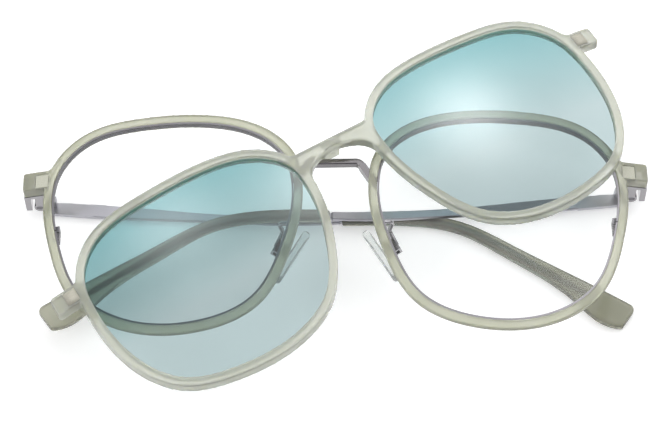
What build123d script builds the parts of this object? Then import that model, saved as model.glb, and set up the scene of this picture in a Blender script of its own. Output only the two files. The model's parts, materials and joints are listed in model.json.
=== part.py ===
from build123d import *
from math import copysign, cos, radians, sin
import os

# Combination glasses with a clip-on front held by magnets.
# The glasses lie front side up on their folded temples, and the clip is turned out of its seat.
# Millimetres. X runs along the front, Y towards the top of the frame, Z out of the front.

# Front curve that both fronts share
base_radius = 300.0
crown_y = 11.2
dome_reach = 85.0

# Base rims
rim_centre_x = 36.2
rim_centre_y = -2.1
rim_width = 58.1
rim_height = 54.8
rim_thickness = 2.15
rim_face = 2.0
rim_back_round = 1.2
back_share = 0.3
rim_shares = [
    (-0.98, 0.42), (-0.99, 0.04), (-0.91, -0.31), (-0.665, -0.79), (-0.18, -0.995), (0.33, -0.94),
    (0.75, -0.63), (0.94, -0.14), (1.0, 0.23), (0.94, 0.62), (0.68, 0.905), (0.24, 1.0),
    (-0.33, 0.965), (-0.73, 0.80),
]

# Lugs at the temporal top corners of both fronts
lug_inner_x = 58.0
lug_outer_x = 70.2
lug_top_y = 13.8
lug_height = 4.6
lug_thickness = 3.0
lug_root_x = 60.9
lug_margin = 3.2
lug_top_blend = 1.6
lug_bottom_blend = 0.5
lug_corner = 0.5
lug_overlap = 0.6

# Magnets
magnet_x = 65.8
magnet_y = 11.1
magnet_width = 2.8
magnet_height = 3.2
magnet_depth = 1.6
magnet_cover = 0.1
magnet_gap = 0.05

# Metal bands inside the rims
band_width = 0.45
band_front = 0.3
band_back = 1.8
band_gap = 0.05

# Closing blocks of the bands
closing_y = -2.0
closing_length = 3.2
closing_x = 61.3
closing_wall = 0.1
closing_reach = 3.0
closing_front = 1.4
closing_back = 3.95
closing_split = 0.3
closing_screw_radius = 0.35
closing_head_radius = 0.6
closing_head_height = 0.5
closing_screw_gap = 0.02

# Demo lenses
lens_front = 0.4
lens_thickness = 0.9

# Bridge bar
bridge_front = 1.0
bridge_depth = 1.85
bridge_width = 1.6
bridge_y = 11.2
bridge_knee_x = 5.4
bridge_foot_x = 9.8
bridge_foot_y = 3.6
bridge_bend = 1.6
bridge_gap = 0.03

# Nose pads
pad_length = 14.0
pad_width = 7.6
pad_thickness = 1.9
pad_edge = 0.85
pad_centre_x = 9.9
pad_centre_y = -8.45
pad_centre_z = -9.5
pad_slant = 31.0
pad_pitch = 4.0
pad_splay = 19.0
pad_stud_length = 1.8
pad_stud_width = 1.3
pad_stud_height = 2.8
pad_screw_radius = 0.35
pad_screw_head = 0.7
pad_screw_head_height = 0.35
pad_screw_gap = 0.05
pad_cheek = 0.55
pad_cheek_gap = 0.15
pad_cheek_length = 3.0

# Wire arms of the nose pads
arm_radius = 0.5
arm_root_y = -4.1
arm_root_depth = 1.9
arm_out_x = 12.6
arm_out_y = -3.4
arm_out_z = -3.3
arm_mid_x = 11.7
arm_mid_y = -3.7
arm_mid_z = -6.6
arm_bend = 1.1

# Hinges
hinge_x = 67.0
hinge_z = -15.6
knuckle_radius = 1.35
knuckle_gap = 0.1
knuckle_count = 3
hinge_screw_radius = 0.5
hinge_screw_gap = 0.04
hinge_head_radius = 0.9
hinge_head_height = 0.55

# Metal endpieces behind the lugs
endpiece_inner_x = 64.9
endpiece_plate_z = -11.8
endpiece_arm = 1.35
endpiece_end_z = -16.65
endpiece_step = 0.5
endpiece_web = 1.8

# Temples
temple_slope = 4.95
right_slope_more = 0.5
temple_bends = [(40.4, 200.0, -4.7), (82.1, 36.0, 34.7)]
temple_start = 1.45
temple_start_y = 10.66
temple_offset = 2.7
temple_thickness = 1.0
flat_height = 2.75
flat_end = 27.0
waist_start = 37.0
waist_height = 2.2
bar_end = 68.0
bar_end_height = 1.9
core_height = 1.3
core_thickness = 0.9
core_end = 131.0
core_stations = 8
right_fold_lean = 2.3
web_tip = 3.4
web_root = 1.15
web_sink = 0.3

# Sleeves on the temple ends: runs of their stations, with their rise and drop from the centre line
sleeve_runs = [68.4, 82.0, 96.0, 108.0, 120.0, 127.5, 132.5, 139.3]
sleeve_rises = [1.3, 1.4, 1.4, 1.6, 2.25, 2.7, 2.95, 3.15]
sleeve_drops = [1.25, 1.4, 1.4, 1.65, 1.8, 2.95, 4.1, 2.8]
sleeve_thickness = 2.2
sleeve_edge = 0.6
sleeve_top_corner = 1.4
sleeve_low_corner = 0.6

# Clip front
clip_gap = 0.43
clip_thickness = 3.0
clip_centre_x = 36.5
clip_centre_y = -1.2
clip_width = 57.1
clip_height = 50.0
clip_face = 2.0
clip_shares = [
    (-0.99, 0.41), (-0.96, 0.01), (-0.86, -0.34), (-0.61, -0.79), (-0.17, -0.99), (0.29, -0.96),
    (0.67, -0.79), (0.92, -0.38), (1.0, 0.21), (0.93, 0.635), (0.66, 0.925), (0.22, 1.0),
    (-0.33, 0.975), (-0.74, 0.83),
]
clip_lug_shift = -0.6
clip_lens_front = 1.15
clip_lens_thickness = 1.0
clip_groove = 0.4
clip_lens_gap = 0.02

# Clip bridge, seen from the front in its seat
clip_bridge_top = 13.3
clip_bridge_reach = 10.5
clip_bridge_blend = 1.2
clip_arch_top = 11.0
clip_arch_half = 8.2
clip_arch_foot = 3.9
clip_arch_shares = [
    (-1.0, 0.0), (-0.78, 0.69), (-0.41, 0.91), (0.0, 1.0), (0.41, 0.91), (0.78, 0.69), (1.0, 0.0),
]

# Hook tab under the clip bridge
hook_x = 0.45
hook_width = 4.3
hook_thickness = 0.95
hook_corner = 0.4
hook_clearance = 0.35
hook_depth = 4.4

# Turn of the clip out of its seat, about an axis through the centre of the front curve
clip_turn = 30.3
clip_pivot_x = -3.1

# Upright columns that the outlines are cut from, and the overrun of cuts
column_low = -22.0
column_height = 32.0
inset_stations = 32
overrun = 2.0

sides = {"left": -1, "right": 1}
curve_centre = Vector(0, crown_y, -base_radius)
lug_low_y = lug_top_y - lug_height
clip_front = -clip_gap - clip_thickness
clip_axis = Axis(curve_centre, (clip_pivot_x, 0, base_radius))
clip_magnet_y = magnet_y + clip_lug_shift / 2
parts = {}


def shell(front, back):
    """Layer of the front curve between two depths below the base front surface."""
    with BuildPart() as layer:
        with BuildSketch(Plane.YZ):
            with Locations((crown_y, -base_radius)):
                Circle(base_radius - front)
                Circle(base_radius - back, mode=Mode.SUBTRACT)
            with Locations((crown_y, -base_radius - base_radius)):
                Rectangle(dome_reach + dome_reach, base_radius, mode=Mode.INTERSECT)
        revolve(axis=Axis((0, crown_y, -base_radius), (0, 1, 0)))
    return layer.part


def outline(side, shares, centre, size, inset=0.0):
    """Closed smooth outline through shares of its half width and half height, drawn in by an inset."""
    points = [(side * (centre[0] + a * size[0] / 2), centre[1] + b * size[1] / 2) for a, b in shares]
    if inset:
        edge = Spline(*points, periodic=True)
        spots = [i / inset_stations for i in range(inset_stations)]
        points = [edge @ t + Vector(-(edge % t).Y, (edge % t).X) * side * inset for t in spots]
    with BuildSketch() as face:
        with BuildLine():
            Spline(*points, periodic=True)
        make_face()
    return face.sketch


def rim_outline(side, inset=0.0):
    return outline(side, rim_shares, (rim_centre_x, rim_centre_y), (rim_width, rim_height), inset)


def clip_outline(side, inset=0.0):
    return outline(side, clip_shares, (clip_centre_x, clip_centre_y), (clip_width, clip_height), inset)


def column(sketch, front, back):
    """Layer of the front curve with a given outline."""
    with BuildPart() as block:
        with BuildSketch(Plane.XY.offset(column_low)):
            add(sketch)
        extrude(amount=column_height)
        add(shell(front, back), mode=Mode.INTERSECT)
    return block.part


def on_curve(x, y, depth):
    """Height of the front curve over a point, at a depth below its surface."""
    return ((base_radius - depth) ** 2 - x ** 2 - (y - crown_y) ** 2) ** 0.5 - base_radius


def box_sketch(side, near, far, low, high):
    """Upright rectangle on one side, between two distances from the middle and two heights."""
    with BuildSketch() as face:
        with Locations((side * (near + far) / 2, (low + high) / 2)):
            Rectangle(far - near, high - low)
    return face.sketch


def magnet_sketch(side, y, gap=0.0):
    near = magnet_x - magnet_width / 2 - gap
    far = magnet_x + magnet_width / 2 + gap
    return box_sketch(side, near, far, y - magnet_height / 2 - gap, y + magnet_height / 2 + gap)


def with_lug(side, face, shift=0.0):
    """A rim outline with its lug: rounded outer corners, blended inner corners."""
    low, high = lug_low_y + shift, lug_top_y + shift
    with BuildSketch() as whole:
        add(face)
        add(box_sketch(side, lug_inner_x, lug_outer_x, low, high))
        fillet(whole.vertices().group_by(Axis.X)[-1 if side > 0 else 0], lug_corner)
        inner = whole.vertices().filter_by(lambda v: side * v.X < magnet_x)
        fillet(inner.filter_by(lambda v: abs(v.Y - high) < lug_corner), lug_top_blend)
        fillet(inner.filter_by(lambda v: abs(v.Y - low) < lug_corner), lug_bottom_blend)
    return whole.sketch


def finish(builder, name, turn=0.0):
    """Label a finished piece and keep it, turned about the clip's axis if it belongs to the clip."""
    piece = builder.part.rotate(clip_axis, turn) if turn else builder.part
    piece.label = name
    parts[name] = piece


def cylinder_along_y(x, z, radius, low, high):
    with BuildPart() as pin:
        with BuildSketch(Plane.XZ.offset(-high)):
            with Locations((x, z)):
                Circle(radius)
        extrude(amount=high - low)
    return pin.part


def closing_place(side):
    """Axis of a closing screw: its x and its height."""
    x = side * (closing_x + closing_head_radius + closing_wall)
    z = on_curve(x, closing_y, (closing_back + band_back) / 2)
    return x, z


def closing_screw(side, gap):
    """Screw of a closing block, head downwards, or the hole that it needs."""
    x, z = closing_place(side)
    low = closing_y - closing_length / 2
    high = closing_y + closing_length / 2 - closing_head_height
    with BuildPart() as screw:
        add(cylinder_along_y(x, z, closing_screw_radius + gap, low, high))
        add(cylinder_along_y(x, z, closing_head_radius + gap, low - gap, low + closing_head_height + gap))
    return screw.part


def bridge_bar(gap=0.0):
    """Bridge bar with both bent feet, or the slot that it needs."""
    with BuildPart() as bar:
        with BuildSketch(Plane.XY.offset(-bridge_front + gap)):
            with BuildLine():
                FilletPolyline(
                    (-bridge_foot_x, bridge_foot_y), (-bridge_knee_x, bridge_y),
                    (bridge_knee_x, bridge_y), (bridge_foot_x, bridge_foot_y), radius=bridge_bend)
            trace(line_width=bridge_width + gap + gap)
        extrude(amount=-bridge_depth - gap - gap)
    return bar.part


# Rims: one moulding each with its lug, magnet pocket, lip behind the band and bridge slot
for name, side in sides.items():
    with BuildPart() as rim:
        add(column(rim_outline(side), 0, rim_thickness))
        back = rim.edges().filter_by(
            lambda e: (e @ back_share - curve_centre).length < base_radius - rim_thickness + lug_corner)
        fillet(back, rim_back_round)
        with BuildSketch(Plane.XY.offset(column_low)) as lug:
            add(with_lug(side, rim_outline(side)))
            add(rim_outline(side, lug_overlap), mode=Mode.SUBTRACT)
            add(box_sketch(side, lug_root_x, lug_outer_x + overrun, lug_low_y - lug_bottom_blend,
                           lug_top_y + lug_margin), mode=Mode.INTERSECT)
        add(column(lug.sketch, 0, lug_thickness))
        add(column(rim_outline(side, rim_face + band_width), -overrun, lug_thickness + overrun),
            mode=Mode.SUBTRACT)
        add(column(rim_outline(side, rim_face), -overrun, band_back), mode=Mode.SUBTRACT)
        add(column(magnet_sketch(side, magnet_y, magnet_gap), -overrun,
                   magnet_cover + magnet_depth + magnet_gap), mode=Mode.SUBTRACT)
        add(bridge_bar(bridge_gap), mode=Mode.SUBTRACT)
    finish(rim, "rim_" + name)

# Magnets of the base front, sunk into the faces of the lugs
for name, side in sides.items():
    with BuildPart() as magnet:
        add(column(magnet_sketch(side, magnet_y), magnet_cover, magnet_cover + magnet_depth))
    finish(magnet, "magnet_" + name)

# Metal bands inside the rims, split at their closing blocks
for name, side in sides.items():
    with BuildPart() as band:
        add(column(rim_outline(side, rim_face + band_gap), band_front, band_back - band_gap))
        add(column(rim_outline(side, rim_face + band_width), -overrun, rim_thickness), mode=Mode.SUBTRACT)
        with BuildSketch() as block:
            add(rim_outline(side, rim_face + band_width / 2))
            add(box_sketch(side, closing_x, closing_x + closing_reach, closing_y - closing_length / 2,
                           closing_y + closing_length / 2), mode=Mode.INTERSECT)
        with BuildSketch() as rear_block:
            add(block.sketch)
            add(rim_outline(side, rim_face + band_width), mode=Mode.INTERSECT)
        add(column(block.sketch, closing_front, band_back - band_gap))
        add(column(rear_block.sketch, closing_front, closing_back))
        add(closing_screw(side, closing_screw_gap), mode=Mode.SUBTRACT)
        with BuildSketch(Plane.XY.offset(column_low)):
            add(box_sketch(side, closing_x - overrun, closing_x + closing_reach,
                           closing_y - closing_split / 2, closing_y + closing_split / 2))
        extrude(amount=column_height, mode=Mode.SUBTRACT)
    finish(band, "eyewire_" + name)

# Screws of the closing blocks, with a slot in the head
for name, side in sides.items():
    x, z = closing_place(side)
    low = closing_y - closing_length / 2
    with BuildPart() as screw:
        add(closing_screw(side, 0))
        with BuildSketch(Plane.XZ.offset(-low)):
            with Locations((x, z)):
                Rectangle(closing_head_radius + closing_head_radius, closing_head_height / 2)
        extrude(amount=-closing_head_height / 2, mode=Mode.SUBTRACT)
    finish(screw, "rim_screw_" + name)

# Demo lenses inside the bands
for name, side in sides.items():
    with BuildPart() as lens:
        add(column(rim_outline(side, rim_face + band_width), lens_front, lens_front + lens_thickness))
    finish(lens, "lens_" + name)

# Bridge bar, its feet let into the rims up to the bands
with BuildPart() as bridge:
    add(bridge_bar())
    for side in sides.values():
        add(column(rim_outline(side, rim_face - bridge_gap), -overrun, rim_thickness + overrun),
            mode=Mode.SUBTRACT)
finish(bridge, "bridge")


def pad_plane(side):
    """Plane of a nose pad: x along the pad, y through its depth, z towards the nose."""
    slant, pitch, splay = radians(pad_slant), radians(pad_pitch), radians(pad_splay)
    along = Vector(sin(slant) * cos(pitch), -cos(slant) * cos(pitch), -sin(pitch))
    depth = Vector(-sin(splay), 0, cos(splay))
    normal = along.cross(depth).normalized()
    along = Vector(side * along.X, along.Y, along.Z)
    normal = Vector(side * normal.X, normal.Y, normal.Z)
    return Plane(origin=(side * pad_centre_x, pad_centre_y, pad_centre_z), x_dir=along, z_dir=normal)


pad_screw_drop = pad_thickness / 2 + pad_stud_height - pad_stud_length / 2
pad_base_drop = pad_thickness / 2 + pad_stud_height + pad_cheek_gap
pad_cheek_out = pad_stud_width / 2 + pad_cheek_gap + pad_cheek


def pad_screw_plane(side):
    """Plane across the screw of a nose pad, its origin on the screw's axis."""
    face = pad_plane(side)
    return Plane(origin=face.origin - face.z_dir * pad_screw_drop, x_dir=face.x_dir, z_dir=face.y_dir * side)


# Nose pads: a soft plate with a stud on its back
for name, side in sides.items():
    face = pad_plane(side)
    across = pad_screw_plane(side)
    with BuildPart() as pad:
        with BuildSketch(face.offset(-pad_thickness / 2)):
            Ellipse(pad_length / 2, pad_width / 2)
        extrude(amount=pad_thickness)
        fillet(pad.edges().filter_by(GeomType.ELLIPSE), pad_edge)
        with BuildSketch(across.offset(-pad_stud_width / 2)):
            Circle(pad_stud_length / 2)
            with Locations((0, -side * pad_screw_drop / 2)):
                Rectangle(pad_stud_length, pad_screw_drop)
        extrude(amount=pad_stud_width)
        with BuildSketch(across.offset(-pad_width)):
            Circle(pad_screw_radius + pad_screw_gap)
        extrude(amount=pad_width + pad_width, mode=Mode.SUBTRACT)
    finish(pad, "pad_" + name)

# Wire arms of the pads: a bent wire from the band and a two-cheeked box for the stud
for name, side in sides.items():
    face = pad_plane(side)
    across = pad_screw_plane(side)
    root_x = rim_centre_x - rim_width / 2 + rim_face
    root = Vector(side * root_x, arm_root_y, on_curve(root_x, arm_root_y, arm_root_depth))
    out = Vector(side * arm_out_x, arm_out_y, arm_out_z)
    mid = Vector(side * arm_mid_x, arm_mid_y, arm_mid_z)
    end = face.origin - face.z_dir * (pad_base_drop + pad_cheek / 2)
    with BuildPart() as arm:
        with BuildLine() as route:
            FilletPolyline(root, out, mid, end, radius=arm_bend)
        with BuildSketch(Plane(origin=root, z_dir=out - root)):
            Circle(arm_radius)
        sweep(path=route.wires()[0])
        add(column(rim_outline(side, rim_face + band_width), -overrun, -column_low), mode=Mode.INTERSECT)
        with BuildSketch(face.offset(-pad_base_drop - pad_cheek)):
            Rectangle(pad_cheek_length, pad_cheek_out + pad_cheek_out)
        extrude(amount=pad_cheek)
        for offset_out in (pad_cheek_out - pad_cheek, -pad_cheek_out):
            with BuildSketch(across.offset(offset_out)):
                Circle(pad_cheek_length / 2)
                with Locations((0, side * (pad_base_drop - pad_screw_drop) / 2)):
                    Rectangle(pad_cheek_length, pad_base_drop - pad_screw_drop)
            extrude(amount=pad_cheek)
        with BuildSketch(across.offset(-pad_width)):
            Circle(pad_screw_radius)
        extrude(amount=pad_width + pad_width, mode=Mode.SUBTRACT)
    finish(arm, "pad_arm_" + name)

# Screws of the pads, through both cheeks and the stud
for name, side in sides.items():
    across = pad_screw_plane(side)
    with BuildPart() as screw:
        with BuildSketch(across.offset(-pad_cheek_out)):
            Circle(pad_screw_radius)
        extrude(amount=pad_cheek_out + pad_cheek_out)
        with BuildSketch(across.offset(pad_cheek_out)):
            Circle(pad_screw_head)
        extrude(amount=pad_screw_head_height)
    finish(screw, "pad_screw_" + name)

# Hinge barrels: three knuckles between the lug's lower and upper edge
knuckle_height = (lug_height - knuckle_gap * (knuckle_count - 1)) / knuckle_count
knuckle_lows = [lug_low_y + i * (knuckle_height + knuckle_gap) for i in range(knuckle_count)]


def hinge_screw(side, gap):
    """Hinge screw with its head in the lowest knuckle, or the hole that it needs."""
    with BuildPart() as screw:
        add(cylinder_along_y(side * hinge_x, hinge_z, hinge_screw_radius + gap, lug_low_y, lug_top_y))
        add(cylinder_along_y(side * hinge_x, hinge_z, hinge_head_radius + gap, lug_low_y,
                             lug_low_y + hinge_head_height + gap))
    return screw.part


# Endpieces: a plate behind the lug, an outer arm, and the lowest and highest knuckles
for name, side in sides.items():
    with BuildPart() as endpiece:
        with BuildSketch(Plane.XZ.offset(-lug_top_y)):
            with BuildLine():
                Polyline(
                    (side * endpiece_inner_x, 0), (side * lug_outer_x, 0),
                    (side * lug_outer_x, endpiece_end_z), (side * (lug_outer_x - endpiece_arm), endpiece_end_z),
                    (side * (lug_outer_x - endpiece_arm), endpiece_plate_z),
                    (side * endpiece_inner_x, endpiece_plate_z), close=True)
            make_face()
        extrude(amount=lug_height)
        for low in knuckle_lows[::knuckle_count - 1]:
            with BuildSketch(Plane.XZ.offset(-low - knuckle_height)):
                with Locations((side * hinge_x, hinge_z)):
                    Circle(knuckle_radius)
                with Locations((side * hinge_x, (hinge_z + endpiece_plate_z) / 2)):
                    Rectangle(endpiece_web, endpiece_plate_z - hinge_z + endpiece_step)
            extrude(amount=knuckle_height)
        add(shell(-lug_outer_x, lug_thickness), mode=Mode.SUBTRACT)
        add(hinge_screw(side, 0), mode=Mode.SUBTRACT)
    finish(endpiece, "endpiece_" + name)

# Hinge screws, with a slot in the head
for name, side in sides.items():
    with BuildPart() as screw:
        add(hinge_screw(side, 0))
        with BuildSketch(Plane.XZ.offset(-lug_low_y)):
            with Locations((side * hinge_x, hinge_z)):
                Rectangle(hinge_head_radius + hinge_head_radius, hinge_head_height / 2)
        extrude(amount=-hinge_head_height / 2, mode=Mode.SUBTRACT)
    finish(screw, "hinge_screw_" + name)


def temple_frame(side):
    """Directions of a folded temple: along it, and away from the front."""
    lean = radians(right_fold_lean if side > 0 else 0)
    along = Vector(-side * cos(lean), 0, sin(lean))
    return along, along.cross(Vector(0, side, 0))


def temple_plane(side, away=0.0):
    """Plane of a folded temple: x along it from the hinge, y upwards, z by its side."""
    along, outward = temple_frame(side)
    origin = Vector(side * hinge_x, 0, hinge_z) + outward * away
    return Plane(origin=origin, x_dir=along, z_dir=outward * side)


def temple_run(side, run):
    """Point of the temple's centre line at a run from the hinge, and its downward angle."""
    angle = radians(temple_slope + (right_slope_more if side > 0 else 0))
    x, y, done = 0, temple_start_y, 0
    for start, radius, turn in temple_bends:
        straight = min(run, start) - done
        bend = min(max(run - start, 0), radius * abs(radians(turn)))
        x, y, done = x + straight * cos(angle), y - straight * sin(angle), done + straight + bend
        turned = angle + copysign(bend / radius, turn)
        x += copysign(radius, turn) * (sin(turned) - sin(angle))
        y -= copysign(radius, turn) * (cos(angle) - cos(turned))
        angle = turned
        if run <= done:
            return x, y, angle
    return x + (run - done) * cos(angle), y - (run - done) * sin(angle), angle


def temple_edge(side, run, rise):
    """Point above or below the temple's centre line."""
    x, y, angle = temple_run(side, run)
    return x + rise * sin(angle), y + rise * cos(angle)


def ribbon(side, runs, rises, drops):
    """Closed outline between an upper and a lower smooth edge of a temple."""
    with BuildSketch() as face:
        with BuildLine():
            upper = Spline(*[temple_edge(side, run, rise) for run, rise in zip(runs, rises)])
            lower = Spline(*[temple_edge(side, run, -drop) for run, drop in zip(runs, drops)])
            Line(upper @ 0, lower @ 0)
            Line(upper @ 1, lower @ 1)
        make_face()
    return face.sketch


def bar_face(side):
    """Flat bar: wide at the hinge, narrowed at the waist."""
    runs = [temple_start, flat_end, waist_start, (waist_start + bar_end) / 2, bar_end]
    halves = [flat_height / 2, flat_height / 2, waist_height / 2, waist_height / 2, bar_end_height / 2]
    return ribbon(side, runs, halves, halves)


def core_face(side):
    """Core wire inside the sleeve."""
    first = bar_end - core_height
    runs = [first + (core_end - first) * i / core_stations for i in range(core_stations + 1)]
    halves = [core_height / 2] * len(runs)
    return ribbon(side, runs, halves, halves)


def sleeve_face(side):
    """Sleeve outline: slim along the core, a paddle at the tip with an angled end."""
    with BuildSketch() as face:
        add(ribbon(side, sleeve_runs, sleeve_rises, sleeve_drops))
        top = Vector(*temple_edge(side, sleeve_runs[-1], sleeve_rises[-1]))
        low = Vector(*temple_edge(side, sleeve_runs[-1], -sleeve_drops[-1]))
        fillet(face.vertices().sort_by_distance(top)[0], sleeve_top_corner)
        fillet(face.vertices().sort_by_distance(low)[0], sleeve_low_corner)
    return face.sketch


def temple_slab(side, face, thickness):
    """Face of a temple, given its thickness about the temple's middle plane."""
    with BuildPart() as slab:
        with BuildSketch(temple_plane(side, temple_offset)):
            add(face)
        extrude(amount=thickness / 2, both=True)
    return slab.part


# Temples: the flat bar, the core wire and the middle knuckle with its web
for name, side in sides.items():
    along, outward = temple_frame(side)
    low = knuckle_lows[1]
    with BuildPart() as temple:
        add(temple_slab(side, bar_face(side), temple_thickness))
        add(temple_slab(side, core_face(side), core_thickness))
        barrel = Plane(origin=(side * hinge_x, low, hinge_z), x_dir=along, z_dir=(0, 1, 0))
        inner = -side * (temple_offset - temple_thickness / 2)
        with BuildSketch(barrel):
            Circle(knuckle_radius)
            with BuildLine():
                Polyline(
                    (0, -side * web_root), (temple_start, inner), (temple_start, inner - side * web_sink),
                    (web_tip, inner - side * web_sink), (web_tip, 0), (0, 0), close=True)
            make_face()
        extrude(amount=knuckle_height)
        add(hinge_screw(side, hinge_screw_gap), mode=Mode.SUBTRACT)
    finish(temple, "temple_" + name)

# Sleeves on the core wires
for name, side in sides.items():
    with BuildPart() as sleeve:
        add(temple_slab(side, sleeve_face(side), sleeve_thickness))
        fillet(sleeve.edges(), sleeve_edge)
        add(temple_slab(side, core_face(side), core_thickness), mode=Mode.SUBTRACT)
    finish(sleeve, "temple_tip_" + name)

# Clip front: two rims, the arched bridge, the lugs and the hook tab in one moulding
hook_low_y = bridge_y + bridge_width / 2 + hook_clearance
with BuildPart() as clip:
    with BuildSketch() as front:
        for side in sides.values():
            add(with_lug(side, clip_outline(side), clip_lug_shift))
        with BuildLine():
            clip_arch_rise = clip_arch_top - clip_arch_foot
            arch = Spline(*[(a * clip_arch_half, clip_arch_foot + b * clip_arch_rise) for a, b in clip_arch_shares])
            Polyline(
                arch @ 1, (clip_bridge_reach, clip_arch_foot), (clip_bridge_reach, clip_bridge_top),
                (-clip_bridge_reach, clip_bridge_top), (-clip_bridge_reach, clip_arch_foot), arch @ 0)
        make_face()
        fillet(front.vertices().filter_by(
            lambda v: abs(v.Y - clip_bridge_top) < hook_corner and abs(v.X) < clip_bridge_reach), clip_bridge_blend)
        for side in sides.values():
            add(clip_outline(side, clip_face), mode=Mode.SUBTRACT)
    add(column(front.sketch, clip_front, -clip_gap))
    with BuildSketch(Plane.XY.offset(-hook_depth)) as tab:
        with Locations((hook_x, hook_low_y + hook_thickness / 2)):
            RectangleRounded(hook_width, hook_thickness, hook_corner)
    extrude(tab.sketch, amount=hook_depth + clip_gap + clip_thickness / 2)
    for side in sides.values():
        add(column(clip_outline(side, clip_face - clip_groove), clip_front + clip_lens_front - clip_lens_gap,
                   clip_front + clip_lens_front + clip_lens_thickness + clip_lens_gap), mode=Mode.SUBTRACT)
        add(column(magnet_sketch(side, clip_magnet_y, magnet_gap),
                   -clip_gap - magnet_cover - magnet_depth - magnet_gap, overrun), mode=Mode.SUBTRACT)
finish(clip, "clip_frame", clip_turn)

# Tinted lenses in the grooves of the clip front
for name, side in sides.items():
    with BuildPart() as lens:
        add(column(clip_outline(side, clip_face - clip_groove + clip_lens_gap), clip_front + clip_lens_front,
                   clip_front + clip_lens_front + clip_lens_thickness))
    finish(lens, "clip_lens_" + name, clip_turn)

# Magnets of the clip, let into the backs of its lugs
for name, side in sides.items():
    with BuildPart() as magnet:
        add(column(magnet_sketch(side, clip_magnet_y), -clip_gap - magnet_cover - magnet_depth,
                   -clip_gap - magnet_cover))
    finish(magnet, "clip_magnet_" + name, clip_turn)

# Set down with the middle of its plan over the origin and its lowest point on the plane Z = 0
boxes = [piece.bounding_box() for piece in parts.values()]
middle_x = (min(box.min.X for box in boxes) + max(box.max.X for box in boxes)) / 2
middle_y = (min(box.min.Y for box in boxes) + max(box.max.Y for box in boxes)) / 2
lowest_z = min(box.min.Z for box in boxes)
set_down = Location((-middle_x, -middle_y, -lowest_z))

os.makedirs("parts", exist_ok=True)
for name, piece in parts.items():
    placed = piece.moved(set_down)
    placed.label = name
    export_step(placed, "parts/" + name + ".step")
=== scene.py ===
"""Looks of a pair of combination glasses with a magnetic clip-on, laid out as a Blender add-on.

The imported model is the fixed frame. The operators give its nodes their materials, model the
moulded and soft pieces over it, and set the camera, the lamps and the floor.
"""

import json
import math

import bmesh
import bpy
import numpy as np
from mathutils import Matrix, Vector

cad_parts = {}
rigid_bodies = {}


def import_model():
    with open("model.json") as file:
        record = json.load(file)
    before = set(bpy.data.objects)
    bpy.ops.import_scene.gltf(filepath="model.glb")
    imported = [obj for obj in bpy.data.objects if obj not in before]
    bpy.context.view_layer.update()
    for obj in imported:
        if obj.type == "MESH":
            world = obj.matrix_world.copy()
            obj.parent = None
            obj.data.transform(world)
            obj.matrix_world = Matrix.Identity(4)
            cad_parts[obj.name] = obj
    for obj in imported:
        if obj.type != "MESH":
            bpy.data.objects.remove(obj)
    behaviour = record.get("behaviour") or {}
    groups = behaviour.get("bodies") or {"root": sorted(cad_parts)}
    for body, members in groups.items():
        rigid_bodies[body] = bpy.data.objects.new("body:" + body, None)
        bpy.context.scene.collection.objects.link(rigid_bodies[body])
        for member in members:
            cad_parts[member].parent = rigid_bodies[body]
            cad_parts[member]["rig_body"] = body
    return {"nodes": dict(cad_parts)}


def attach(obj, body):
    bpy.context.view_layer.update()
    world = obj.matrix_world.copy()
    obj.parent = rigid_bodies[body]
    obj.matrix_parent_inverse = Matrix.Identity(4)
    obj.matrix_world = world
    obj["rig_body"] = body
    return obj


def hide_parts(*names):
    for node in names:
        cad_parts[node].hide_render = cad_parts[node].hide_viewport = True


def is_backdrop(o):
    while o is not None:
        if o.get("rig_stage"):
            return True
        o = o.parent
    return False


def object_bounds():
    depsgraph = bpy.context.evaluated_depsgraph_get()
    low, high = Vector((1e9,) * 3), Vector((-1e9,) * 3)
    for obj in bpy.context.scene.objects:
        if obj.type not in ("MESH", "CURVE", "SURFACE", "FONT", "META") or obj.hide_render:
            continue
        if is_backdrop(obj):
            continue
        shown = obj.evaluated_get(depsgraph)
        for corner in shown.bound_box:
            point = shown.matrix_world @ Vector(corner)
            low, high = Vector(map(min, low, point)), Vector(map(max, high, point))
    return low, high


for leftover in list(bpy.data.objects):
    bpy.data.objects.remove(leftover)
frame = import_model()

bl_info = {
    "name": "Clip-on glasses looks",
    "version": (1, 0, 0),
    "blender": (4, 5, 0),
    "location": "View3D > Sidebar > Glasses",
    "description": "Materials, moulded pieces and studio for glasses with a magnetic clip-on",
    "category": "Object",
}

SIDES = ("left", "right")
MM_PER_M = 1000
WHITE = (1.0, 1.0, 1.0, 1.0)

# Centre of the front's spherical curve, in metres
CURVE_CENTRE = (0.0, 0.007793, -0.2806)

# Turn of the clip on the base front at rest, in degrees
CLIP_TURN = 30.3

# Camera, as the photograph was taken
CAMERA_TARGET = (0.0, -0.003407, 0.0194)
CAMERA_DISTANCE = 0.495
CAMERA_SENSOR = 36.0
CAMERA_SHIFT = (-0.00553, -0.01471)
CAMERA_CLIP = (0.02, 20.0)

# Floor: its width in metres, its drop under the glasses, its grid and its own light to the camera
FLOOR_WIDTH = 6.0
FLOOR_DROP = 0.0001
FLOOR_GRID = 4
FLOOR_LIFT = 0.4

# Room: its strength, the direction in which it turns pale, and where the turn starts and ends
ROOM_STRENGTH = 0.92
ROOM_LEAN = (0.0, 0.5, 0.866)
ROOM_TURN = (0.1, 0.7)

# Lamps: name, place, diameter in metres, power in watts, and whether each lights the clip's
# lenses alone
LAMPS = (
    ("softbox_left", (-0.8, -0.3, 0.8), 0.9, 3.0, False),
    ("softbox_right", (0.8, 0.2, 0.9), 0.9, 3.0, False),
    ("softbox_back", (0.1, 0.6, 0.85), 1.2, 1.8, False),
    ("lens_light_right", (0.24, 0.635, 0.77), 0.12, 1.6, True),
    ("lens_light_left", (-0.03, 0.51, 0.87), 0.1, 1.2, True),
    ("lens_light_far_left", (-0.31, 0.42, 0.85), 0.12, 0.8, True),
)

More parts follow.
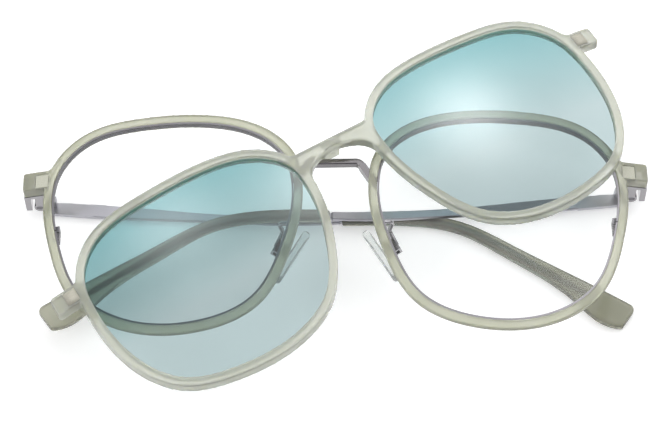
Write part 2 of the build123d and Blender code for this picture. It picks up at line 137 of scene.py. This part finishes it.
# Skins: distance at which a copy's vertices merge, in metres, and the turn that makes an edge sharp
MERGE_DISTANCE = 0.000002
SHARP_TURN = math.radians(35)

# Turns of a skin from vertex to vertex, in degrees: on even faces and on rounded edges
EVEN_TURN = 5.0
ROUND_TURN = 12.0
WEIGHT_STEPS = 10

# Rounds of smoothing of the moulded skins, and the grain of the pads' skin in millimetres
CLIP_ROUNDS = 15
RIM_ROUNDS = 14
SLEEVE_ROUNDS = 12
PAD_ROUNDS = 4
PAD_GRAIN = 0.12

# Eased edges: the steps of one rounding, and how far from the middle they reach, in millimetres
EDGE_STEPS = 4
BRIDGE_REACH = 8.8
TEMPLE_REACH = 60.0

# Moulded nylon: cloud size in millimetres, roughness to either side, and reach of light by channel
PLASTIC_CLOUD = 14.0
PLASTIC_UNEVEN = 0.03
PLASTIC_IOR = 1.5
PLASTIC_REACH = (1.0, 1.0, 0.8)

# Plated metal: sizes of stains and wipe marks in millimetres, shade of a stain, and how much less
# and more rough it is in places
METAL_STAIN = 4.0
METAL_WIPE = 0.4
METAL_SHADE = 0.9
METAL_UNEVEN = (0.03, 0.05)

# Rolled ridges of the band: share of painted shade in the grooves' colour, and their depth in
# millimetres
GROOVE_PAINTED_SHADE = 0.35
GROOVE_DEPTH = 0.06

# Magnets: grain size and depth in millimetres, and roughness
MAGNET_GRAIN = 0.3
MAGNET_RELIEF = 0.01
MAGNET_ROUGH = 0.55

# Lenses: index, roughness of the coating and cloud size in millimetres
LENS_IOR = 1.5
LENS_ROUGH = 0.24
LENS_CLOUD = 20.0

# Heights on the clip between which its lenses turn from pale to teal, in metres
FADE = (-0.009, 0.021)

# How much of its tint a lens leaves out of the light that it lets through to what lies behind it
SHADOW_EASE = 0.75

# Pads: cloud size in millimetres, roughness from and to, clearness and index
PAD_CLOUD = 1.2
PAD_ROUGH = (0.12, 0.25)
PAD_CLEAR = 0.85
PAD_IOR = 1.41


def linear(value):
    """One sRGB channel from 0 to 1 as linear light."""
    if value <= 0.04045:
        return value / 12.92
    return ((value + 0.055) / 1.055) ** 2.4


def colour(text):
    """An sRGB hex colour as linear RGBA."""
    channels = [int(text[i : i + 2], 16) / 255 for i in (1, 3, 5)]
    return tuple(linear(c) for c in channels) + (1.0,)


def shaded(tint, share):
    """A linear colour darkened to a share of itself."""
    return tuple(c * share for c in tint[:3]) + (1.0,)


def add_node(tree, kind, inputs=(), **settings):
    """Adds a shader node with its settings, and inputs as pairs of a socket and a value or link."""
    node = tree.nodes.new(kind)
    for name, value in settings.items():
        setattr(node, name, value)
    for name, value in inputs:
        if isinstance(value, bpy.types.NodeSocket):
            tree.links.new(value, node.inputs[name])
        else:
            node.inputs[name].default_value = value
    return node


def new_material(name):
    """An empty node material, its node tree and its output node."""
    material = bpy.data.materials.new(name)
    material.use_nodes = True
    tree = material.node_tree
    tree.nodes.clear()
    return material, tree, add_node(tree, "ShaderNodeOutputMaterial")


def give(node, material):
    """Gives a CAD node a material in its slots."""
    for slot in node.material_slots:
        slot.material = material


def noise(tree, scale_mm, detail=3.0):
    """Noise with features of about scale_mm, over Object coordinates in metres."""
    place = add_node(tree, "ShaderNodeTexCoord").outputs["Object"]
    return add_node(
        tree,
        "ShaderNodeTexNoise",
        [("Vector", place), ("Scale", MM_PER_M / scale_mm), ("Detail", detail)],
    ).outputs["Fac"]


def ramp(tree, factor, low, high, low_at=0.3, high_at=0.7):
    """A two-colour ramp over a factor."""
    node = add_node(tree, "ShaderNodeValToRGB", [("Fac", factor)])
    node.color_ramp.elements[0].position = low_at
    node.color_ramp.elements[0].color = low
    node.color_ramp.elements[1].position = high_at
    node.color_ramp.elements[1].color = high
    return node.outputs["Color"]


def spread(tree, factor, low, high):
    """A factor from 0 to 1 mapped to a range."""
    return add_node(
        tree, "ShaderNodeMapRange", [("Value", factor), ("To Min", low), ("To Max", high)]
    ).outputs["Result"]


def bump(tree, height, depth_mm):
    """A bump from a height of 0 to 1, depth_mm deep."""
    return add_node(
        tree, "ShaderNodeBump", [("Height", height), ("Distance", depth_mm / MM_PER_M)]
    ).outputs["Normal"]


def moulded_plastic(name, pale, deep, rough, clear, haze_mm):
    """Injection-moulded nylon: light passes it, milky from inside, and its skin shines softly."""
    material, tree, out = new_material(name)
    cloud = noise(tree, PLASTIC_CLOUD, detail=1.0)
    shader = add_node(
        tree,
        "ShaderNodeBsdfPrincipled",
        [
            ("Base Color", ramp(tree, cloud, deep, pale)),
            ("Roughness", spread(tree, cloud, rough - PLASTIC_UNEVEN, rough + PLASTIC_UNEVEN)),
            ("Transmission Weight", clear),
            ("IOR", PLASTIC_IOR),
            ("Subsurface Weight", 1.0),
            ("Subsurface Radius", PLASTIC_REACH),
            ("Subsurface Scale", haze_mm / MM_PER_M),
        ],
    )
    tree.links.new(shader.outputs["BSDF"], out.inputs["Surface"])
    return material


def polished_metal(name, tint, rough, ridge_mm=0.0):
    """Plated metal: it mirrors the room with faint stains and wipe marks, or in rolled ridges.

    The ridges of the eyewires' band run along the front's curve, their grooves darkened with
    painted shade.
    real ones, so that they show at the photograph's size.
    """
    material, tree, out = new_material(name)
    less, more = METAL_UNEVEN
    if ridge_mm:
        place = add_node(tree, "ShaderNodeTexCoord").outputs["Object"]
        reach = add_node(
            tree, "ShaderNodeVectorMath", [(0, place), (1, CURVE_CENTRE)], operation="DISTANCE"
        ).outputs["Value"]
        turns = add_node(
            tree,
            "ShaderNodeMath",
            [(0, reach), (1, 2 * MM_PER_M * math.pi / ridge_mm)],
            operation="MULTIPLY",
        ).outputs["Value"]
        wave = add_node(tree, "ShaderNodeMath", [(0, turns)], operation="SINE").outputs["Value"]
        # The grooves' colour is darkened to a share of the tint: painted shade in the grooves,
        # besides their bump
        inputs = [
            ("Base Color", ramp(tree, wave, shaded(tint, GROOVE_PAINTED_SHADE), tint)),
            ("Normal", bump(tree, wave, GROOVE_DEPTH)),
        ]
    else:
        stain = noise(tree, METAL_STAIN)
        inputs = [("Base Color", ramp(tree, stain, shaded(tint, METAL_SHADE), tint))]
    inputs += [
        ("Metallic", 1.0),
        ("Roughness", spread(tree, noise(tree, METAL_WIPE), rough - less, rough + more)),
    ]
    shader = add_node(tree, "ShaderNodeBsdfPrincipled", inputs)
    tree.links.new(shader.outputs["BSDF"], out.inputs["Surface"])
    return material


def sintered_magnet(name, pale, deep):
    """Lacquered sintered magnet: matt, with the powder's fine grain under the lacquer."""
    material, tree, out = new_material(name)
    grain = noise(tree, MAGNET_GRAIN)
    shader = add_node(
        tree,
        "ShaderNodeBsdfPrincipled",
        [
            ("Base Color", ramp(tree, grain, deep, pale)),
            ("Roughness", MAGNET_ROUGH),
            ("Normal", bump(tree, grain, MAGNET_RELIEF)),
        ],
    )
    tree.links.new(shader.outputs["BSDF"], out.inputs["Surface"])
    return material


def sheet_lens(name, tint, low, high):
    """Coated lens sheet: light goes straight through its tint, and its faces reflect a little."""
    material, tree, out = new_material(name)
    fresnel = add_node(tree, "ShaderNodeFresnel", [("IOR", LENS_IOR)]).outputs["Fac"]
    leaving = add_node(tree, "ShaderNodeNewGeometry").outputs["Backfacing"]
    entering = add_node(
        tree, "ShaderNodeMath", [(0, 1.0), (1, leaving)], operation="SUBTRACT"
    ).outputs["Value"]
    glare = add_node(
        tree, "ShaderNodeMath", [(0, fresnel), (1, entering)], operation="MULTIPLY"
    ).outputs["Value"]
    path = add_node(tree, "ShaderNodeLightPath")
    cast = add_node(
        tree,
        "ShaderNodeMath",
        [(0, path.outputs["Is Shadow Ray"]), (1, path.outputs["Is Diffuse Ray"])],
        operation="MAXIMUM",
    ).outputs["Value"]
    ease = add_node(
        tree, "ShaderNodeMath", [(0, cast), (1, SHADOW_EASE)], operation="MULTIPLY"
    ).outputs["Value"]
    # A colour mix has its factor in socket 0, its two colours in 6 and 7, and its result in 2
    passed = add_node(
        tree,
        "ShaderNodeMix",
        [(0, ease), (6, tint(tree, low, high)), (7, WHITE)],
        data_type="RGBA",
    ).outputs[2]
    clear = add_node(tree, "ShaderNodeBsdfTransparent", [("Color", passed)])
    shine = add_node(tree, "ShaderNodeBsdfAnisotropic", [("Roughness", LENS_ROUGH)])
    mix = add_node(
        tree,
        "ShaderNodeMixShader",
        [(0, glare), (1, clear.outputs["BSDF"]), (2, shine.outputs["BSDF"])],
    )
    tree.links.new(mix.outputs["Shader"], out.inputs["Surface"])
    return material


def even_tint(tree, low, high):
    """A tint that hardly changes over the lens."""
    return ramp(tree, noise(tree, LENS_CLOUD), low, high)


def fading_tint(tree, low, high):
    """A dip-dyed tint that fades from the top of the clip down."""
    place = add_node(tree, "ShaderNodeTexCoord").outputs["Object"]
    turn = math.radians(CLIP_TURN)
    height = add_node(
        tree,
        "ShaderNodeVectorMath",
        [(0, place), (1, (-math.sin(turn), math.cos(turn), 0.0))],
        operation="DOT_PRODUCT",
    ).outputs["Value"]
    share = add_node(
        tree,
        "ShaderNodeMapRange",
        [("Value", height), ("From Min", FADE[0]), ("From Max", FADE[1])],
    ).outputs["Result"]
    return ramp(tree, share, low, high, 0.0, 1.0)


def soft_silicone(name, pale, deep):
    """Moulded clear silicone: almost clear, with a soft shine and a slight cloud inside."""
    material, tree, out = new_material(name)
    cloud = noise(tree, PAD_CLOUD)
    shader = add_node(
        tree,
        "ShaderNodeBsdfPrincipled",
        [
            ("Base Color", ramp(tree, cloud, deep, pale)),
            ("Roughness", spread(tree, cloud, *PAD_ROUGH)),
            ("Transmission Weight", PAD_CLEAR),
            ("IOR", PAD_IOR),
        ],
    )
    tree.links.new(shader.outputs["BSDF"], out.inputs["Surface"])
    return material


def size_property(name, description, default):
    """A size in millimetres."""
    return bpy.props.FloatProperty(
        name=name, description=description + ", in millimetres", default=default, min=0.0
    )


def colour_property(name, description, text):
    """A colour, from its sRGB hex value."""
    return bpy.props.FloatVectorProperty(
        name=name, description=description, default=colour(text), size=4, subtype="COLOR"
    )


class GlassesSizes(bpy.types.PropertyGroup):
    """Fineness of the moulded skins and roundings of the metal edges."""

    clip_grain: size_property("Clip grain", "Mesh grain of the clip's and sleeves' skins", 0.235)
    rim_grain: size_property("Rim grain", "Mesh grain of the rims' moulded skins", 0.17)
    bar_edge: size_property("Bar edge", "Rounding of the temple bars' edges", 0.28)
    bridge_edge: size_property("Bridge edge", "Rounding of the bridge bar's edges", 0.45)
    magnet_rise: size_property("Magnet rise", "Growth of the clip's magnets towards its face", 1.34)


class GlassesColours(bpy.types.PropertyGroup):
    """Colours of the plastics, the metal bars and the tinted lenses."""

    rims: colour_property("Rims", "Nylon of the base front's rims", "#e0e1cf")
    clip: colour_property("Clip", "Frosted nylon of the clip's front", "#e6e8dd")
    sleeves: colour_property("Sleeves", "Plastic of the temples' sleeves", "#bcbcaa")
    bars: colour_property("Temple bars", "Satin metal of the temple bars", "#b7b6bd")
    lens_top: colour_property("Lens top", "Tint at the top of the clip's lenses", "#a8ced1")
    lens_bottom: colour_property("Lens bottom", "Tint at the foot of the clip's lenses", "#d8e2e3")


class GlassesStudio(bpy.types.PropertyGroup):
    """Camera of the photograph."""

    lens: bpy.props.FloatProperty(
        name="Focal length", description="Focal length of the camera", default=122.6, unit="CAMERA"
    )
    depression: bpy.props.FloatProperty(
        name="Depression",
        description="Angle of the camera's view below the horizon",
        default=math.radians(57.82),
        subtype="ANGLE",
    )
    roll: bpy.props.FloatProperty(
        name="Roll", description="Roll of the camera", default=math.radians(0.87), subtype="ANGLE"
    )


class GLASSES_OT_materials(bpy.types.Operator):
    """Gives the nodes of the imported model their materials"""

    bl_idname = "glasses.materials"
    bl_label = "Materials"

    def execute(self, context):
        hues = context.scene.glasses_colours
        # Olive nylon of the base front: pale olive and milky, see-through where it is thin
        olive = moulded_plastic("olive_nylon", hues.rims, colour("#d4d6c0"), 0.22, 0.62, 1.5)
        # Frosted nylon of the clip: the same with hardly any colour
        frost = moulded_plastic("frosted_nylon", hues.clip, colour("#dfe1d4"), 0.22, 0.62, 1.5)
        # Acetate of the sleeves: deeper olive and glossier, with less haze
        sleeve = moulded_plastic("olive_acetate", hues.sleeves, colour("#adae9b"), 0.18, 0.8, 1.0)
        # Silver plate of the endpieces and the pad arms: a bright mirror
        silver = polished_metal("silver_plate", colour("#a4a2a5"), 0.1)
        # Polished nickel of the bridge bar: a darker mirror with a warm cast
        nickel = polished_metal("polished_nickel", colour("#8c898b"), 0.16)
        # Satin-finished temple bars: even lavender grey, with no sharp reflection
        satin = polished_metal("satin_silver", hues.bars, 0.36)
        # Rolled steel band of the eyewires: thin lines along the rims, the dark ones painted shade
        # in the grooves
        band = polished_metal("rolled_band_steel", colour("#949296"), 0.3, ridge_mm=0.5)
        # Blackened steel of the screws: darker than what they hold
        steel = polished_metal("screw_steel", colour("#8d8b8f"), 0.2)
        # Lacquered magnets: matt cream in the base front, a little darker in the clip
        cream = sintered_magnet("magnet_cream", colour("#d2d2c3"), colour("#c6c6b4"))
        beige = sintered_magnet("magnet_beige", colour("#cdcabb"), colour("#c0bdad"))
        # Demo lens sheet: clear, with a faint reflection
        clear = sheet_lens("demo_lens", even_tint, colour("#fbfcfc"), WHITE)
        # Dip-dyed lens sheet of the clip: teal at the top, fading to pale blue-grey
        tinted = sheet_lens("teal_gradient_lens", fading_tint, hues.lens_bottom, hues.lens_top)
        # Silicone of the nose pads: nearly clear, with a faint cloud
        silicone = soft_silicone("pad_silicone", colour("#fafcfb"), colour("#eef2f0"))
        table = {"clip_frame": frost, "bridge": nickel}
        for side in SIDES:
            table |= {
                f"rim_{side}": olive,
                f"temple_tip_{side}": sleeve,
                f"endpiece_{side}": silver,
                f"temple_{side}": satin,
                f"pad_arm_{side}": silver,
                f"eyewire_{side}": band,
                f"rim_screw_{side}": steel,
                f"hinge_screw_{side}": steel,
                f"pad_screw_{side}": steel,
                f"magnet_{side}": cream,
                f"clip_magnet_{side}": beige,
                f"lens_{side}": clear,
                f"clip_lens_{side}": tinted,
                f"pad_{side}": silicone,
            }
        for name, material in table.items():
            give(frame["nodes"][name], material)
        return {"FINISHED"}


def copied(context, name):
    """A merged copy of a node's mesh as a new piece, selected alone."""
    source = frame["nodes"][name]
    piece = bpy.data.objects.new(name + "_piece", source.data.copy())
    context.scene.collection.objects.link(piece)
    bpy.ops.object.select_all(action="DESELECT")
    piece.select_set(True)
    context.view_layer.objects.active = piece
    bpy.ops.mesh.customdata_custom_splitnormals_clear()
    bpy.ops.object.mode_set(mode="EDIT")
    bpy.ops.mesh.select_all(action="SELECT")
    bpy.ops.mesh.remove_doubles(threshold=MERGE_DISTANCE)
    bpy.ops.object.mode_set(mode="OBJECT")
    return piece


def stand_in(piece, name):
    """Puts a finished piece on its node's body, in the place of the node, which it hides."""
    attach(piece, frame["nodes"][name]["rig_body"])
    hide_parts(name)


def apply(piece, kind, **settings):
    """Adds a modifier to the active piece and applies it."""
    modifier = piece.modifiers.new(kind.lower(), kind)
    for name, value in settings.items():
        setattr(modifier, name, value)
    bpy.ops.object.modifier_apply(modifier=modifier.name)


def keep_true_normals(piece, name):
    """Gives a moulded skin its node's smooth normals, but for its rounded edges."""
    mesh = piece.data
    ends = np.empty(len(mesh.edges) * 2, np.int64)
    mesh.edges.foreach_get("vertices", ends)
    ends = ends.reshape(-1, 2)
    normals = np.empty(len(mesh.vertices) * 3)
    mesh.vertices.foreach_get("normal", normals)
    normals = normals.reshape(-1, 3)
    across = np.einsum("ij,ij->i", normals[ends[:, 0]], normals[ends[:, 1]])
    turn = np.degrees(np.arccos(np.clip(across, -1.0, 1.0)))
    bend = np.zeros(len(normals))
    for end in ends.T:
        np.maximum.at(bend, end, turn)
    even = np.clip((ROUND_TURN - bend) / (ROUND_TURN - EVEN_TURN), 0.0, 1.0)
    group = piece.vertex_groups.new(name="even")
    for level in range(1, WEIGHT_STEPS + 1):
        members = np.nonzero(np.round(even * WEIGHT_STEPS) == level)[0]
        if len(members):
            group.add(members.tolist(), level / WEIGHT_STEPS, "REPLACE")
    apply(
        piece,
        "DATA_TRANSFER",
        object=frame["nodes"][name],
        use_loop_data=True,
        data_types_loops={"CUSTOM_NORMAL"},
        loop_mapping="POLYINTERP_NEAREST",
        vertex_group=group.name,
    )
    piece.vertex_groups.clear()


def mark_sharp_edges(piece, layer_name, reach_mm=math.inf):
    """Writes 1 into an edge layer at the sharp edges within reach_mm of the middle of the front."""
    skin = bmesh.new()
    skin.from_mesh(piece.data)
    layer = skin.edges.layers.float.new(layer_name)
    for edge in skin.edges:
        near = all(abs(v.co.x) * MM_PER_M < reach_mm for v in edge.verts)
        if near and edge.is_manifold and edge.calc_face_angle() > SHARP_TURN:
            edge[layer] = 1.0
    skin.to_mesh(piece.data)
    skin.free()


def moulded(context, name, grain_mm, rounds):
    """A copy of a node as one moulded skin, its edges rounded as a mould leaves them."""
    piece = copied(context, name)
    mark_sharp_edges(piece, "crease_edge")
    apply(piece, "SUBSURF", levels=1, render_levels=1)
    apply(piece, "REMESH", mode="VOXEL", voxel_size=grain_mm / MM_PER_M, adaptivity=0.0)
    apply(piece, "SMOOTH", factor=0.5, iterations=rounds)
    bpy.ops.object.shade_smooth()
    keep_true_normals(piece, name)
    stand_in(piece, name)


def eased(context, name, edge_mm, reach_mm):
    """A copy of a metal node, its sharp edges within reach_mm of the middle of the front eased."""
    piece = copied(context, name)
    mark_sharp_edges(piece, "bevel_weight_edge", reach_mm)
    bpy.ops.object.shade_smooth_by_angle(angle=SHARP_TURN)
    apply(
        piece,
        "BEVEL",
        width=edge_mm / MM_PER_M,
        segments=EDGE_STEPS,
        limit_method="WEIGHT",
        use_clamp_overlap=False,
        harden_normals=True,
    )
    stand_in(piece, name)


class GLASSES_OT_mouldings(bpy.types.Operator):
    """Moulds the rims, the clip front and the sleeves with rounded edges"""

    bl_idname = "glasses.mouldings"
    bl_label = "Moulded pieces"

    def execute(self, context):
        sizes = context.scene.glasses_sizes
        moulded(context, "clip_frame", sizes.clip_grain, CLIP_ROUNDS)
        for side in SIDES:
            moulded(context, f"rim_{side}", sizes.rim_grain, RIM_ROUNDS)
            moulded(context, f"temple_tip_{side}", sizes.clip_grain, SLEEVE_ROUNDS)
        return {"FINISHED"}


class GLASSES_OT_metalwork(bpy.types.Operator):
    """Eases the edges of the bridge bar and the temple bars"""

    bl_idname = "glasses.metalwork"
    bl_label = "Metal pieces"

    def execute(self, context):
        sizes = context.scene.glasses_sizes
        eased(context, "bridge", sizes.bridge_edge, BRIDGE_REACH)
        for side in SIDES:
            eased(context, f"temple_{side}", sizes.bar_edge, TEMPLE_REACH)
        return {"FINISHED"}


class GLASSES_OT_magnets(bpy.types.Operator):
    """Grows the clip's magnets through its lugs to their face, where the real ones show"""

    bl_idname = "glasses.magnets"
    bl_label = "Clip magnets"

    def execute(self, context):
        rise = context.scene.glasses_sizes.magnet_rise
        for side in SIDES:
            name = f"clip_magnet_{side}"
            piece = copied(context, name)
            vertices = piece.data.vertices
            middle = sum((Vector(v.co) for v in vertices), Vector()) / len(vertices)
            outwards = (middle - Vector(CURVE_CENTRE)).normalized()
            for vertex in vertices:
                vertex.select = (vertex.co - middle).dot(outwards) > 0
            for face in piece.data.polygons:
                face.select = all(vertices[v].select for v in face.vertices)
            bpy.ops.object.mode_set(mode="EDIT")
            bpy.ops.mesh.select_mode(type="VERT")
            bpy.ops.transform.translate(value=outwards * rise / MM_PER_M)
            bpy.ops.object.mode_set(mode="OBJECT")
            stand_in(piece, name)
        return {"FINISHED"}


class GLASSES_OT_pads(bpy.types.Operator):
    """Models the soft nose pads"""

    bl_idname = "glasses.pads"
    bl_label = "Nose pads"

    def execute(self, context):
        for side in SIDES:
            moulded(context, f"pad_{side}", PAD_GRAIN, PAD_ROUNDS)
        return {"FINISHED"}


class GLASSES_OT_studio(bpy.types.Operator):
    """Sets the camera, the lamps and the white floor"""

    bl_idname = "glasses.studio"
    bl_label = "Studio"

    def execute(self, context):
        settings = context.scene.glasses_studio
        place_camera(context, settings)
        place_floor(context)
        place_lamps(context)
        paint_world(context)
        context.scene.view_settings.view_transform = "Standard"
        return {"FINISHED"}


def place_camera(context, settings):
    """The camera of the photograph."""
    fall, roll = settings.depression, settings.roll
    ahead = Vector((0.0, math.cos(fall), -math.sin(fall)))
    up = Vector((0.0, math.sin(fall), math.cos(fall)))
    side = Vector((1.0, 0.0, 0.0))
    right = side * math.cos(roll) - up * math.sin(roll)
    top = side * math.sin(roll) + up * math.cos(roll)
    data = bpy.data.cameras.new("camera")
    data.lens = settings.lens
    data.sensor_width = CAMERA_SENSOR
    data.shift_x, data.shift_y = CAMERA_SHIFT
    data.clip_start, data.clip_end = CAMERA_CLIP
    camera = bpy.data.objects.new("camera", data)
    context.scene.collection.objects.link(camera)
    camera.matrix_world = Matrix.Translation(
        Vector(CAMERA_TARGET) - ahead * CAMERA_DISTANCE
    ) @ Matrix((right, top, -ahead)).transposed().to_4x4()
    context.scene.camera = camera


def place_floor(context):
    """A white floor under the glasses, which is white to the camera and keeps their shadow."""
    bpy.ops.mesh.primitive_grid_add(
        x_subdivisions=FLOOR_GRID, y_subdivisions=FLOOR_GRID, size=FLOOR_WIDTH
    )
    floor = context.active_object
    floor.name = "floor"
    floor.location.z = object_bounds()[0].z - FLOOR_DROP
    material, tree, out = new_material("floor_white")
    white = add_node(tree, "ShaderNodeBsdfDiffuse", [("Color", colour("#f2f2f2"))])
    path = add_node(tree, "ShaderNodeLightPath")
    seen = path.outputs["Is Camera Ray"]
    for ray in ("Is Glossy Ray", "Is Transmission Ray"):
        seen = add_node(
            tree, "ShaderNodeMath", [(0, seen), (1, path.outputs[ray])], operation="MAXIMUM"
        ).outputs["Value"]
    lift = add_node(
        tree, "ShaderNodeMath", [(0, seen), (1, FLOOR_LIFT)], operation="MULTIPLY"
    ).outputs["Value"]
    glow = add_node(tree, "ShaderNodeEmission", [("Color", WHITE), ("Strength", lift)])
    both = add_node(
        tree, "ShaderNodeAddShader", [(0, white.outputs["BSDF"]), (1, glow.outputs["Emission"])]
    )
    tree.links.new(both.outputs["Shader"], out.inputs["Surface"])
    floor.data.materials.append(material)
    floor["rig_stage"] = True


def place_lamps(context):
    """Large softboxes round the glasses, and small ones that light the tinted lenses alone."""
    tinted = bpy.data.collections.new("tinted_lenses")
    for side in SIDES:
        tinted.objects.link(frame["nodes"][f"clip_lens_{side}"])
    for name, place, size, power, lenses_alone in LAMPS:
        data = bpy.data.lights.new(name, "AREA")
        data.shape = "DISK"
        data.size = size
        data.energy = power
        lamp = bpy.data.objects.new(name, data)
        context.scene.collection.objects.link(lamp)
        if lenses_alone:
            lamp.light_linking.receiver_collection = tinted
        lamp.location = place
        lamp.rotation_mode = "QUATERNION"
        lamp.rotation_quaternion = Vector(place).to_track_quat("Z", "Y")


def paint_world(context):
    """A room dark on one side, which gives the metal its dark lines, and white to the camera."""
    world = bpy.data.worlds.new("room")
    context.scene.world = world
    world.use_nodes = True
    tree = world.node_tree
    tree.nodes.clear()
    out = add_node(tree, "ShaderNodeOutputWorld")
    path = add_node(tree, "ShaderNodeLightPath")
    direction = add_node(tree, "ShaderNodeTexCoord").outputs["Generated"]
    rise = add_node(
        tree, "ShaderNodeVectorMath", [(0, direction), (1, ROOM_LEAN)], operation="DOT_PRODUCT"
    ).outputs["Value"]
    walls = ramp(tree, rise, colour("#4c4b50"), colour("#f4f4f5"), *ROOM_TURN)
    room = add_node(tree, "ShaderNodeBackground", [("Color", walls), ("Strength", ROOM_STRENGTH)])
    white = add_node(tree, "ShaderNodeBackground", [("Color", WHITE), ("Strength", 1.0)])
    mix = add_node(
        tree,
        "ShaderNodeMixShader",
        [
            (0, path.outputs["Is Camera Ray"]),
            (1, room.outputs["Background"]),
            (2, white.outputs["Background"]),
        ],
    )
    tree.links.new(mix.outputs["Shader"], out.inputs["Surface"])


class GLASSES_PT_panel(bpy.types.Panel):
    """Panel with the operators"""

    bl_label = "Glasses"
    bl_idname = "GLASSES_PT_panel"
    bl_space_type = "VIEW_3D"
    bl_region_type = "UI"
    bl_category = "Glasses"

    def draw(self, context):
        for group_name, group in GROUPS.items():
            for name in group.__annotations__:
                self.layout.prop(getattr(context.scene, group_name), name)
        for name in ("studio", "materials", "mouldings", "metalwork", "magnets", "pads"):
            self.layout.operator("glasses." + name)


GROUPS = {
    "glasses_studio": GlassesStudio,
    "glasses_sizes": GlassesSizes,
    "glasses_colours": GlassesColours,
}
CLASSES = (
    *GROUPS.values(),
    GLASSES_OT_studio,
    GLASSES_OT_materials,
    GLASSES_OT_mouldings,
    GLASSES_OT_metalwork,
    GLASSES_OT_magnets,
    GLASSES_OT_pads,
    GLASSES_PT_panel,
)


def register():
    """Registers the add-on."""
    for cls in CLASSES:
        bpy.utils.register_class(cls)
    for name, group in GROUPS.items():
        setattr(bpy.types.Scene, name, bpy.props.PointerProperty(type=group))


def unregister():
    """Unregisters the add-on."""
    for name in GROUPS:
        delattr(bpy.types.Scene, name)
    for cls in reversed(CLASSES):
        bpy.utils.unregister_class(cls)


def main():
    """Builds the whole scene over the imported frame."""
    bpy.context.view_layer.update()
    register()
    bpy.ops.glasses.studio()
    bpy.ops.glasses.materials()
    bpy.ops.glasses.mouldings()
    bpy.ops.glasses.metalwork()
    bpy.ops.glasses.magnets()
    bpy.ops.glasses.pads()


if __name__ == "__main__":
    main()
